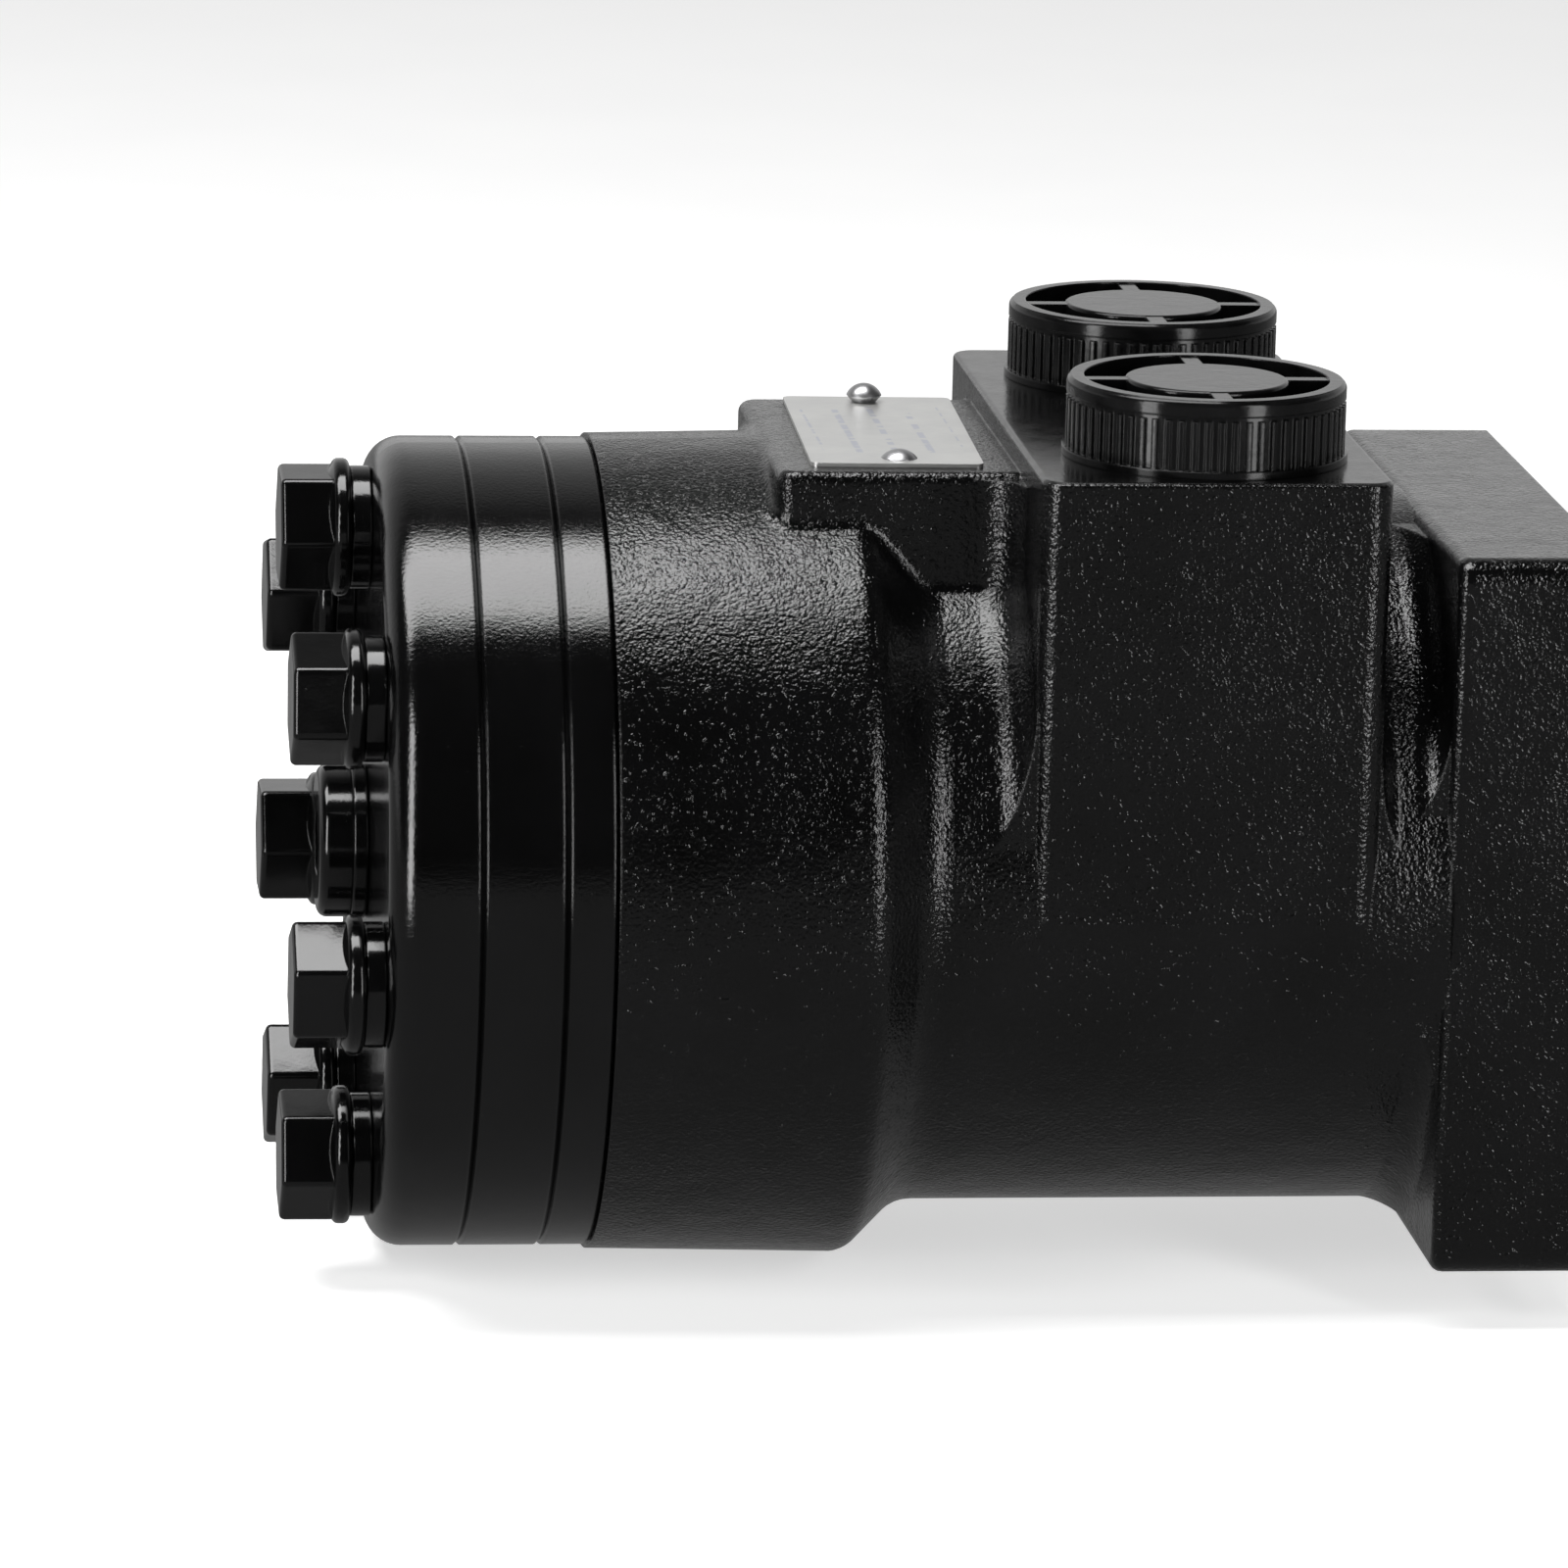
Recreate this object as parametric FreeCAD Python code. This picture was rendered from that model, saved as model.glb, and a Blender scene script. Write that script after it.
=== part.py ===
import FreeCAD, Part
import math
import os

# Low-speed, high-torque orbit hydraulic motor: a roller gerotor set behind a one-piece
# cast housing with two ports on top and a square four-bolt flange in front.
# Units are millimetres. +X runs along the shaft axis out of the flange, +Z is up and the
# ports face +Z. The origin is on the shaft axis, in the plane of the mounting face.
# Angles around the shaft are measured from +Y towards +Z.

# ---- stations along the shaft axis ------------------------------------------------------
FLANGE_THICKNESS = 19.2
BLOCK_FRONT = -27.6            # port block, flange side
BLOCK_REAR = -70.5             # port block, gerotor side
PORT_X = -48.3                 # centre line of both ports
PAD_REAR = -100.5              # rear end of the raised nameplate pad
HOUSING_REAR = -121.3          # rear face of the casting
SPACER_THICKNESS = 6.15
RING_THICKNESS = 10.2
CAP_THICKNESS = 11.2
SPACER_REAR = HOUSING_REAR - SPACER_THICKNESS
RING_REAR = SPACER_REAR - RING_THICKNESS
CAP_REAR = RING_REAR - CAP_THICKNESS

# ---- outside of the stack and the casting -----------------------------------------------
STACK_RADIUS = 50.8            # 4 inch round stack
DRUM_REAR_RADIUS = 51.3        # cast drum, with a little draft towards the flange
DRUM_FRONT_RADIUS = 51.9
DRUM_END = -89.3               # where the drum starts to fall to the neck
NECK_RADIUS = 45.3
BLOCK_HALF_WIDTH = 45.9
BLOCK_TOP = 54.75
BLOCK_CORNER = 3.0             # round on its upright corners
BLOCK_ROOT = 14.0              # how far its tapered root reaches below the shaft axis
FLANGE_SIDE = 90.0
FLANGE_CORNER = 3.0
FLANGE_EDGE = 1.6
BLOCK_FILLET = 6.0             # cast fillets at the foot of the block, the flange and the pad
FLANGE_FILLET = 4.5
PAD_FILLET = 2.0
DRUM_FILLET = 4.0              # shoulder of the drum
VALLEY_FILLET = 6.0            # where its fall meets the neck
BLOCK_FRONT_FILLET = 3.0
BLOCK_TOP_ROUND = 0.6          # machined port face
PAD_CORNER = 2.4
PAD_TOP_ROUND = 1.4
FILLET_SINK = 0.05             # how far a fillet dips below the surfaces it joins
PILOT_RADIUS = 22.225          # 44.45 mm spigot
PILOT_HEIGHT = 2.8
PAD_HALF_WIDTH = 25.5
PAD_TOP = 52.0
PLATE_LENGTH = 21.3
PLATE_WIDTH = 45.4
PLATE_THICKNESS = 0.5
PLATE_X = -84.8
PLATE_Y = 0.9
PLATE_TURN = -1.6             # degrees that it sits askew
PLATE_CORNER = 1.0
RIVET_Y = {-1: 17.9, 1: 20.2}   # near and far side, from the shaft axis
RIVET_PROUD = {-1: 0.0, 1: 0.9}   # the rivet on the far side was not driven fully home
RIVET_HEAD_RADIUS = 2.25
RIVET_HEAD_HEIGHT = {-1: 1.1, 1: 1.5}
RIVET_UNDER_RADIUS = 1.5          # foot of the raised head, on the plate
RIVET_SHANK_RADIUS = 1.1
RIVET_DEPTH = 5.0
SEAM_CHAMFER = 0.5             # edge break that shows as a groove at each joint of the stack
CAP_EDGE = 4.3                 # round on the outer rim of the end cap

# ---- stack bolts ------------------------------------------------------------------------
BOLT_COUNT = 7
BOLT_CIRCLE_RADIUS = 40.05
BOLT_SHANK_RADIUS = 4.76       # 3/8 inch
BOLT_HOLE_RADIUS = 5.0
BOLT_HEX = 14.29               # across flats
BOLT_FLANGE_RADIUS = 8.62
BOLT_FLANGE_THICKNESS = 2.2
BOLT_HEX_HEIGHT = 6.5
BOLT_HEX_ROUND = 0.9           # forged rounding of the corners of the head
BOLT_END_ROUND = 0.7           # and of its outer end
BOLT_REACH = 22.0              # threaded length in the casting
WASHER_RADIUS = 7.7
WASHER_THICKNESS = 2.6
HEX_TURNS = (4, 23, 36, 12, 38, 0, 47)   # degrees that each head was left turned, from the top bolt on

# ---- flange bolt holes ------------------------------------------------------------------
FLANGE_HOLE_CIRCLE = 82.55
FLANGE_HOLE_RADIUS = 3.97      # minor radius of the 3/8-16 thread
FLANGE_HOLE_DEPTH = 16.0

# ---- roller gerotor set -----------------------------------------------------------------
ROLLER_COUNT = 7
LOBE_COUNT = ROLLER_COUNT - 1
ROLLER_CIRCLE = 30.5           # radius on which the roller centres lie
ROLLER_RADIUS = 5.6
ECCENTRICITY = 2.6
RING_BORE = 30.9               # between the roller pockets
POCKET_CLEARANCE = 0.05
FLANK_CLEARANCE = 0.2          # between star and rollers
SIDE_CLEARANCE = 0.08          # each side of the star and the rollers
FIRST_ROLLER = -90.0           # angle of the first roller, in degrees
SPACER_BORE = 14.5             # lets the drive link through
DRIVE_SPACER_RADIUS = 9.6
DRIVE_SPACER_THICKNESS = 1.4

# ---- drive link and shaft ---------------------------------------------------------------
SPLINE_COUNT = 12
SPLINE_BORE_TIP = 10.2         # inner radius of the internal spline teeth
SPLINE_BORE_ROOT = 12.2
SPLINE_SLOT_WIDTH = 3.3
LINK_SPLINE_TIP = 11.6
LINK_SPLINE_ROOT = 9.5
LINK_TOOTH_WIDTH = 2.2         # thin enough to let the link rock in the slots
LINK_BODY_RADIUS = 8.0
LINK_FRONT_X = -76.0           # centre of the front spline, on the shaft axis
LINK_REAR_X = -131.8           # centre of the rear spline, on the axis of the star
LINK_FRONT_HALF = 6.0
LINK_REAR_HALF = 3.6
SPOOL_RADIUS = 22.2
SPOOL_CLEARANCE = 0.03
SPOOL_BORE = 16.5
SPOOL_REAR = HOUSING_REAR + 0.4
SPOOL_FRONT = -34.0
GROOVE_REAR_X = -66.0          # annular grooves in the spool, one for each port
GROOVE_FRONT_X = -42.0
WINDOW_X = -54.0               # timing windows, midway between the grooves
GROOVE_HALF_WIDTH = 3.5
GROOVE_DEPTH = 3.0
PASSAGE_RADIUS = 2.6
PASSAGE_CIRCLE = 27.0
SLOT_WIDTH = 4.6
JOURNAL_RADIUS = 15.0          # shaft under the thrust bearing and the seals
JOURNAL_END = 3.2
SHAFT_RADIUS = 12.7            # 1 inch straight end
SHAFT_END = 50.0
SHAFT_TAP_RADIUS = 2.55        # minor radius of the 1/4-20 thread in the shaft end
SHAFT_TAP_DEPTH = 16.0
KEY_WIDTH = 6.35
KEY_LENGTH = 31.75
KEY_START = 14.0
KEY_SEAT = 9.4                 # height of the key's underside above the shaft axis
RACE_THICKNESS = 1.0
THRUST_GAP = 2.8               # between the two races
THRUST_INNER = 15.4
THRUST_OUTER = 21.6
NEEDLE_RADIUS = 1.1
NEEDLE_LENGTH = 4.0
NEEDLE_COUNT = 24
SEAL_POCKET_RADIUS = 20.0
SEAL_FRONT = -16.0
SEAL_WIDTH = 6.5
BACKUP_THICKNESS = 2.0
DUST_POCKET_RADIUS = 19.0
DUST_POCKET_REAR = -5.0
LIP_CLEARANCE = 0.05
THRUST_FRONT = SPOOL_FRONT + 2 * RACE_THICKNESS + THRUST_GAP
BODY_SEAL_OUTER = 48.3         # grooves of the O-rings between the plates
BODY_SEAL_INNER = 45.9
BODY_SEAL_DEPTH = 1.4

# ---- ports ------------------------------------------------------------------------------
PORT_SPACING = 53.8            # between the two port centres, along Y
PORT_HOLE_RADIUS = 10.3        # minor radius of the 7/8-14 thread
PORT_DEPTH = 17.0
PLUG_RIM_RADIUS = 17.15
PLUG_HEIGHT = 9.65
PLUG_RIBS = 64
PLUG_HUB_RADIUS = 10.1
PLUG_COLLAR_HEIGHT = 2.0       # smooth band above the ribs
PLUG_RIM_WIDTH = 2.1           # flat top of the rim
PLUG_WELL_DEPTH = 4.2
PLUG_SKIRT_HEIGHT = 1.0
PLUG_RIB_DEPTH = 0.75
PLUG_SPOKE_WIDTH = 2.2
PLUG_HUB_DROP = 0.1            # hub and spokes below the top of the rim
PLUG_SPOKE_DROP = 0.2
PLUG_STEM_WALL = 1.6
PLUG_STEM_RADIUS = 10.2
PLUG_STEM_LENGTH = 12.0
GALLERY_ANGLE = 25.7           # where the galleries meet the bore, either side of the top
GALLERY_RADIUS = 4.5

# ---- drain plug -------------------------------------------------------------------------
DRAIN_HEAD_RADIUS = 9.6
DRAIN_HEAD_HEIGHT = 4.1
DRAIN_WASHER_RADIUS = 9.8
DRAIN_WASHER_THICKNESS = 2.0
DRAIN_STEM_RADIUS = 6.4
DRAIN_STEM_LENGTH = 8.6

AXIS_X = FreeCAD.Vector(1, 0, 0)
AXIS_Z = FreeCAD.Vector(0, 0, 1)
ORIGIN = FreeCAD.Vector(0, 0, 0)


def rod(x_start, x_end, radius, y=0.0, z=0.0):
    """Cylinder along X between two stations."""
    start = FreeCAD.Vector(x_start, y, z)
    return Part.makeCylinder(radius, x_end - x_start, start, AXIS_X)


def tube(x_start, x_end, outer, inner, y=0.0, z=0.0):
    """Hollow cylinder along X."""
    core = rod(x_start - 1, x_end + 1, inner, y, z)
    return rod(x_start, x_end, outer, y, z).cut(core)


def box(x_start, x_end, half_width, z_low, z_high):
    """Block that is centred on the XZ plane."""
    corner = FreeCAD.Vector(x_start, -half_width, z_low)
    return Part.makeBox(x_end - x_start, 2 * half_width, z_high - z_low, corner)


def polar(radius, degrees):
    """Y and Z of a point at a radius and an angle around the shaft axis."""
    angle = math.radians(degrees)
    return radius * math.cos(angle), radius * math.sin(angle)


def turned(profile):
    """Solid of revolution about the shaft axis from (x, radius) corners."""
    points = [FreeCAD.Vector(x, 0, r) for x, r in profile]
    wire = Part.makePolygon(points + [points[0]])
    return Part.Face(wire).revolve(ORIGIN, AXIS_X, 360)


def prism_x(points, x_start, x_end):
    """Closed (y, z) outline pushed along X."""
    corners = [FreeCAD.Vector(x_start, y, z) for y, z in points]
    wire = Part.makePolygon(corners + [corners[0]])
    return Part.Face(wire).extrude(FreeCAD.Vector(x_end - x_start, 0, 0))


def fuse_all(shapes):
    """Union of a list of solids."""
    first = shapes[0]
    if len(shapes) > 1:
        first = first.multiFuse(shapes[1:])
    return first.removeSplitter()


def around(make, count, first_angle=90.0):
    """Call make(angle) for equally spaced angles."""
    return [make(first_angle + 360.0 * index / count) for index in range(count)]


def bolt_angles():
    return around(lambda angle: angle, BOLT_COUNT)


def roller_angles():
    return around(lambda angle: angle, ROLLER_COUNT, FIRST_ROLLER)


def bolt_holes(x_start, x_end, radius=BOLT_HOLE_RADIUS):
    """Drills for the stack bolts."""
    holes = []
    for angle in bolt_angles():
        y, z = polar(BOLT_CIRCLE_RADIUS, angle)
        holes.append(rod(x_start, x_end, radius, y, z))
    return holes


def fillet_edges(shape, radius, wanted):
    """Round the edges that wanted(edge) picks; a shape that can't take it is an error."""
    edges = [edge for edge in shape.Edges if wanted(edge)]
    return shape.makeFillet(radius, edges)


def circle_edge_at(edge, x, radius):
    """True for a full circle about the shaft axis at a station and of a radius."""
    bounds = edge.BoundBox
    flat = abs(bounds.XMin - x) < 1e-4 and abs(bounds.XMax - x) < 1e-4
    return flat and abs(bounds.ZMax - radius) < 1e-3 and abs(bounds.ZMin + radius) < 1e-3


# ---- casting ----------------------------------------------------------------------------

def casting_barrel():
    """Drum, its fall to the neck, and the neck."""
    fall = DRUM_FRONT_RADIUS - NECK_RADIUS
    neck_end = -FLANGE_THICKNESS + 0.5
    barrel = turned([
        (HOUSING_REAR, 0),
        (HOUSING_REAR, DRUM_REAR_RADIUS),
        (DRUM_END, DRUM_FRONT_RADIUS),
        (DRUM_END + fall, NECK_RADIUS),
        (neck_end, NECK_RADIUS),
        (neck_end, 0),
    ])
    shoulder = lambda e: circle_edge_at(e, DRUM_END, DRUM_FRONT_RADIUS)
    valley = lambda e: circle_edge_at(e, DRUM_END + fall, NECK_RADIUS)
    barrel = fillet_edges(barrel, DRUM_FILLET, shoulder)
    return fillet_edges(barrel, VALLEY_FILLET, valley)


def casting_flange():
    """Square flange with softened edges."""
    half = FLANGE_SIDE / 2
    plate = box(-FLANGE_THICKNESS, 0, half, -half, half)
    upright = lambda e: e.BoundBox.XLength > FLANGE_THICKNESS - 1
    plate = fillet_edges(plate, FLANGE_CORNER, upright)
    rear = lambda e: abs(e.BoundBox.XMax + FLANGE_THICKNESS) < 1e-3
    return fillet_edges(plate, FLANGE_EDGE, rear)


def casting_block():
    """Port block with rounded upright corners and a tapered root that dives into the neck."""
    half = BLOCK_HALF_WIDTH
    foot = half - BLOCK_ROOT / 4
    outline = [(-half, 0), (-foot, -BLOCK_ROOT), (foot, -BLOCK_ROOT), (half, 0),
               (half, BLOCK_TOP), (-half, BLOCK_TOP)]
    block = prism_x(outline, BLOCK_REAR, BLOCK_FRONT)
    upright = lambda e: e.BoundBox.ZLength > BLOCK_ROOT - 1 and e.BoundBox.XLength < 1e-3
    block = fillet_edges(block, BLOCK_CORNER, upright)
    top = lambda e: e.BoundBox.ZMin > BLOCK_TOP - 1e-3
    return fillet_edges(block, BLOCK_TOP_ROUND, top)


def casting_pad():
    """Raised pad on top of the drum and the neck, for the nameplate."""
    pad = box(PAD_REAR, BLOCK_REAR + 1, PAD_HALF_WIDTH, 30, PAD_TOP)
    rear = lambda e: e.BoundBox.ZLength > 20 and e.BoundBox.XMax < PAD_REAR + 1e-3
    pad = fillet_edges(pad, PAD_CORNER, rear)
    top = lambda e: e.BoundBox.ZMin > PAD_TOP - 1e-3 and e.BoundBox.XMin < BLOCK_REAR + 0.9
    return fillet_edges(pad, PAD_TOP_ROUND, top)


def casting_core():
    """Barrel with the pad on it, and the cast fillet round the foot of the pad."""
    core = casting_barrel().fuse(casting_pad())
    side_foot_top = 46.0

    def on_side_foot(edge):
        middle = edge.valueAt((edge.FirstParameter + edge.LastParameter) / 2)
        return abs(abs(middle.y) - PAD_HALF_WIDTH) < 0.05 and middle.z < side_foot_top

    return fillet_edges(core, PAD_FILLET, on_side_foot)


def concave_corner(wall, surface, fillet, side):
    """Face, in the plane of X and a second axis, that fills the corner between a wall across X
    and a surface along X. side is the way the fillet runs out from the wall along X."""
    centre_x = wall + side * (fillet - FILLET_SINK)
    centre_r = surface + fillet - FILLET_SINK
    slant = fillet * math.sqrt(0.5)
    on_wall = FreeCAD.Vector(centre_x - side * fillet, 0, centre_r)
    middle = FreeCAD.Vector(centre_x - side * slant, 0, centre_r - slant)
    on_surface = FreeCAD.Vector(centre_x, 0, centre_r - fillet)
    below = FreeCAD.Vector(centre_x, 0, surface - 3)
    corner = FreeCAD.Vector(wall - side * 2, 0, surface - 3)
    inside = FreeCAD.Vector(wall - side * 2, 0, centre_r)
    arc = Part.Arc(on_wall, middle, on_surface).toShape()
    straight = Part.makePolygon([on_surface, below, corner, inside, on_wall])
    return Part.Face(Part.Wire([arc] + straight.Edges))


def fillet_ring(wall, surface, fillet, side):
    """The same corner carried round the shaft axis."""
    return concave_corner(wall, surface, fillet, side).revolve(ORIGIN, AXIS_X, 360)


def pad_corner_post(side):
    """Upright cast fillet between a side of the pad and the rear of the block."""
    foot = 34.0
    face = concave_corner(BLOCK_REAR, PAD_HALF_WIDTH, BLOCK_FILLET, -1)
    face.rotate(ORIGIN, AXIS_X, -90 * side)
    face.translate(FreeCAD.Vector(0, 0, foot))
    return face.extrude(FreeCAD.Vector(0, 0, PAD_TOP - foot - 0.8))


def casting_fillets():
    """Cast fillets where the block and the flange grow out of the neck and the pad."""
    block_limit = BLOCK_HALF_WIDTH - BLOCK_CORNER / 2
    block_room = box(BLOCK_REAR - 10, BLOCK_FRONT + 10, block_limit, 0, BLOCK_TOP - 1)
    flange_limit = FLANGE_SIDE / 2 - FLANGE_EDGE
    flange_room = box(-FLANGE_THICKNESS - 10, 0, flange_limit, -flange_limit, flange_limit)
    return [
        fillet_ring(BLOCK_REAR, NECK_RADIUS, BLOCK_FILLET, -1).common(block_room),
        fillet_ring(BLOCK_FRONT, NECK_RADIUS, BLOCK_FRONT_FILLET, 1).common(block_room),
        fillet_ring(-FLANGE_THICKNESS, NECK_RADIUS, FLANGE_FILLET, -1).common(flange_room),
        pad_corner_post(-1),
        pad_corner_post(1),
    ]


def port_cuts():
    """Threaded port holes with their O-ring seats, and a gallery from each to the spool."""
    cuts = []
    for side, gallery_x in ((-1, GROOVE_REAR_X), (1, GROOVE_FRONT_X)):
        y = side * PORT_SPACING / 2
        centre = FreeCAD.Vector(PORT_X, y, BLOCK_TOP - PORT_DEPTH)
        cuts.append(Part.makeCylinder(PORT_HOLE_RADIUS, PORT_DEPTH + 1, centre))
        seat = FreeCAD.Vector(PORT_X, y, BLOCK_TOP - 2.4)
        cuts.append(Part.makeCone(PORT_HOLE_RADIUS, PORT_HOLE_RADIUS + 1.7, 2.5, seat))
        bore_y, bore_z = polar(SPOOL_RADIUS - 3.0, 90.0 - side * GALLERY_ANGLE)
        start = FreeCAD.Vector(gallery_x, bore_y, bore_z)
        end = FreeCAD.Vector(PORT_X, y, BLOCK_TOP - PORT_DEPTH + 2.0)
        run = end.sub(start)
        cuts.append(Part.makeCylinder(GALLERY_RADIUS, run.Length, start, run))
    return cuts


def passage_angles():
    """The seven timing passages run between the rollers."""
    return around(lambda angle: angle, ROLLER_COUNT, FIRST_ROLLER + 180.0 / ROLLER_COUNT)


def passages(x_start, x_end):
    """Axial drillings that carry oil between the spool and the roller set."""
    drills = []
    for angle in passage_angles():
        y, z = polar(PASSAGE_CIRCLE, angle)
        drills.append(rod(x_start, x_end, PASSAGE_RADIUS, y, z))
    return drills


def timing_windows():
    """Radial windows from the spool bore to the passages."""
    cuts = []
    for angle in passage_angles():
        y, z = polar(SPOOL_RADIUS - 1.0, angle)
        start = FreeCAD.Vector(WINDOW_X, y, z)
        outward = FreeCAD.Vector(0, y, z)
        depth = PASSAGE_CIRCLE - SPOOL_RADIUS + 1.0
        cuts.append(Part.makeCylinder(PASSAGE_RADIUS - 0.4, depth, start, outward))
    return cuts


def housing_bores():
    """Stepped bore for the spool, the thrust bearing and the seals."""
    front = PILOT_HEIGHT + 1
    return [
        rod(HOUSING_REAR - 1, THRUST_FRONT, SPOOL_RADIUS + SPOOL_CLEARANCE),
        rod(THRUST_FRONT - 0.1, SEAL_FRONT, SEAL_POCKET_RADIUS),
        rod(SEAL_FRONT - 1, front, JOURNAL_RADIUS + 0.5),
        rod(DUST_POCKET_REAR, front, DUST_POCKET_RADIUS),
    ]


def flange_holes():
    """Four tapped holes in the mounting face."""
    holes = []
    for index in range(4):
        y, z = polar(FLANGE_HOLE_CIRCLE / 2, 45 + 90 * index)
        holes.append(rod(-FLANGE_HOLE_DEPTH, 1, FLANGE_HOLE_RADIUS, y, z))
    return holes


def seal_groove(x_start):
    """Ring cut for one O-ring between two plates."""
    return tube(x_start, x_start + BODY_SEAL_DEPTH, BODY_SEAL_OUTER, BODY_SEAL_INNER)


def rivet_holes():
    """Blind holes under the nameplate."""
    holes = []
    for side in (-1, 1):
        foot = FreeCAD.Vector(PLATE_X, side * RIVET_Y[side], PAD_TOP - RIVET_DEPTH)
        holes.append(Part.makeCylinder(RIVET_SHANK_RADIUS, RIVET_DEPTH + 2, foot))
    return holes


def make_housing():
    pilot = rod(-1, PILOT_HEIGHT, PILOT_RADIUS)
    lumps = [casting_core(), casting_flange(), casting_block(), pilot]
    body = fuse_all(lumps + casting_fillets())
    cuts = port_cuts() + passages(HOUSING_REAR - 1, WINDOW_X + PASSAGE_RADIUS)
    cuts += timing_windows() + housing_bores() + flange_holes() + rivet_holes()
    cuts += bolt_holes(HOUSING_REAR - 1, HOUSING_REAR + BOLT_REACH + 2, BOLT_SHANK_RADIUS)
    cuts.append(seal_groove(HOUSING_REAR))
    return body.cut(cuts)


# ---- plates of the stack ----------------------------------------------------------------

def stack_plate(x_start, x_end):
    """Round plate with a small edge break on both sides."""
    reach = STACK_RADIUS - SEAM_CHAMFER
    return turned([
        (x_start, 0),
        (x_start, reach),
        (x_start + SEAM_CHAMFER, STACK_RADIUS),
        (x_end - SEAM_CHAMFER, STACK_RADIUS),
        (x_end, reach),
        (x_end, 0),
    ])


def make_spacer_plate():
    plate = stack_plate(SPACER_REAR, HOUSING_REAR)
    cuts = bolt_holes(SPACER_REAR - 1, HOUSING_REAR + 1)
    cuts += passages(SPACER_REAR - 1, HOUSING_REAR + 1)
    cuts.append(rod(SPACER_REAR - 1, HOUSING_REAR + 1, SPACER_BORE))
    cuts.append(seal_groove(SPACER_REAR))
    return plate.cut(cuts)


def make_gerotor_ring():
    plate = stack_plate(RING_REAR, SPACER_REAR)
    cuts = bolt_holes(RING_REAR - 1, SPACER_REAR + 1)
    cuts.append(rod(RING_REAR - 1, SPACER_REAR + 1, RING_BORE))
    for angle in roller_angles():
        y, z = polar(ROLLER_CIRCLE, angle)
        cuts.append(rod(RING_REAR - 1, SPACER_REAR + 1, ROLLER_RADIUS + POCKET_CLEARANCE, y, z))
    return plate.cut(cuts)


def make_end_cap():
    reach = STACK_RADIUS - SEAM_CHAMFER
    cap = turned([
        (CAP_REAR, 0),
        (CAP_REAR, STACK_RADIUS),
        (RING_REAR - SEAM_CHAMFER, STACK_RADIUS),
        (RING_REAR, reach),
        (RING_REAR, 0),
    ])
    cap = fillet_edges(cap, CAP_EDGE, lambda e: circle_edge_at(e, CAP_REAR, STACK_RADIUS))
    cuts = bolt_holes(CAP_REAR - 1, RING_REAR + 1)
    cuts.append(rod(CAP_REAR - 1, RING_REAR + 1, DRAIN_STEM_RADIUS))
    cuts.append(seal_groove(RING_REAR - BODY_SEAL_DEPTH))
    return cap.cut(cuts)


def make_body_seals():
    """Three O-rings, squeezed flat in their grooves."""
    rings = []
    for x_start in (RING_REAR - BODY_SEAL_DEPTH, SPACER_REAR, HOUSING_REAR):
        ring = tube(x_start, x_start + BODY_SEAL_DEPTH, BODY_SEAL_OUTER, BODY_SEAL_INNER)
        corner = lambda e: e.BoundBox.XLength < 1e-3
        rings.append(fillet_edges(ring, 0.5, corner))
    return Part.makeCompound(rings)


# ---- roller gerotor set -----------------------------------------------------------------

def star_outline():
    """Closed curve that rolls on the rollers: the path of a roller's centre in the frame of
    the star, moved inwards by the radius of the roller and the flank clearance."""
    inset = ROLLER_RADIUS + FLANK_CLEARANCE
    start = math.radians(FIRST_ROLLER)
    steps = LOBE_COUNT * 24
    points = []
    for index in range(steps):
        turn = 2 * math.pi * index / steps
        fast = ROLLER_COUNT * turn
        y = ROLLER_CIRCLE * math.cos(turn) - ECCENTRICITY * math.cos(fast)
        z = ROLLER_CIRCLE * math.sin(turn) - ECCENTRICITY * math.sin(fast)
        slope_y = -ROLLER_CIRCLE * math.sin(turn) + ROLLER_COUNT * ECCENTRICITY * math.sin(fast)
        slope_z = ROLLER_CIRCLE * math.cos(turn) - ROLLER_COUNT * ECCENTRICITY * math.cos(fast)
        length = math.hypot(slope_y, slope_z)
        y -= inset * slope_z / length
        z += inset * slope_y / length
        across = y * math.cos(start) - z * math.sin(start)
        upward = y * math.sin(start) + z * math.cos(start)
        points.append(FreeCAD.Vector(0, across, upward))
    curve = Part.BSplineCurve()
    curve.interpolate(Points=points, PeriodicFlag=True)
    return Part.Wire([curve.toShape()])


def internal_spline(x_start, x_end):
    """Cutter for a straight-sided internal spline on the shaft axis."""
    cutter = [rod(x_start, x_end, SPLINE_BORE_TIP)]
    for angle in around(lambda degrees: degrees, SPLINE_COUNT, 0.0):
        slot = box(x_start, x_end, SPLINE_SLOT_WIDTH / 2, 0, SPLINE_BORE_ROOT)
        slot.rotate(ORIGIN, AXIS_X, angle)
        cutter.append(slot)
    return fuse_all(cutter)


def make_gerotor_star():
    rear = RING_REAR + SIDE_CLEARANCE
    front = SPACER_REAR - SIDE_CLEARANCE
    star = Part.Face(star_outline()).extrude(FreeCAD.Vector(front - rear, 0, 0))
    star.translate(FreeCAD.Vector(rear, 0, 0))
    star = star.cut(internal_spline(rear - 1, front + 1))
    star.translate(FreeCAD.Vector(0, 0, -ECCENTRICITY))
    return star


def make_roller(angle):
    y, z = polar(ROLLER_CIRCLE, angle)
    return rod(RING_REAR + SIDE_CLEARANCE, SPACER_REAR - SIDE_CLEARANCE, ROLLER_RADIUS, y, z)


def make_drive_spacer():
    """Disc in the bore of the star that keeps the drive link off the end cap."""
    rear = RING_REAR + SIDE_CLEARANCE
    return rod(rear, rear + DRIVE_SPACER_THICKNESS, DRIVE_SPACER_RADIUS, 0, -ECCENTRICITY)


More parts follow.
